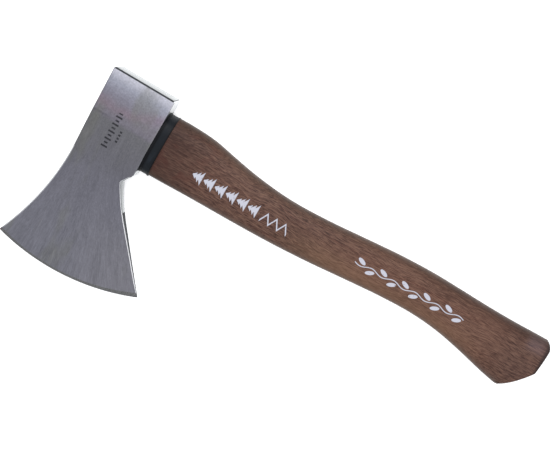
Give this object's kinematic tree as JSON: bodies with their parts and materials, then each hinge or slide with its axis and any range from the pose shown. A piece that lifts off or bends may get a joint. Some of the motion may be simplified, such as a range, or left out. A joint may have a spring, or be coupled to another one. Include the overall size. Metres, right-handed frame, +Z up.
{
  "type": "hatchet",
  "caption": "Hatchet with a flared forged head, a curved wooden handle held in its eye by wedges, and a black collar between them.",
  "frame": {"origin": "middle of the outer box, at the level of the lower cheek of the head, with the hatchet lying on its side", "axes": "+X along the handle from the head to the butt, +Y from the cutting edge to the poll, +Z up through the thickness of the head"},
  "size_m": [0.3982, 0.1584, 0.028],
  "materials": {
    "ground_steel": "ground",
    "stained_hickory": "stained and lacquered",
    "black_rubber": "satin",
    "pale_wood": "raw",
    "dark_steel": "rolled"
  },
  "bodies": {
    "root": {"head": "ground_steel", "handle": "stained_hickory", "collar": "black_rubber", "wooden_wedge": "pale_wood", "steel_wedges": "dark_steel"}
  },
  "joints": []
}
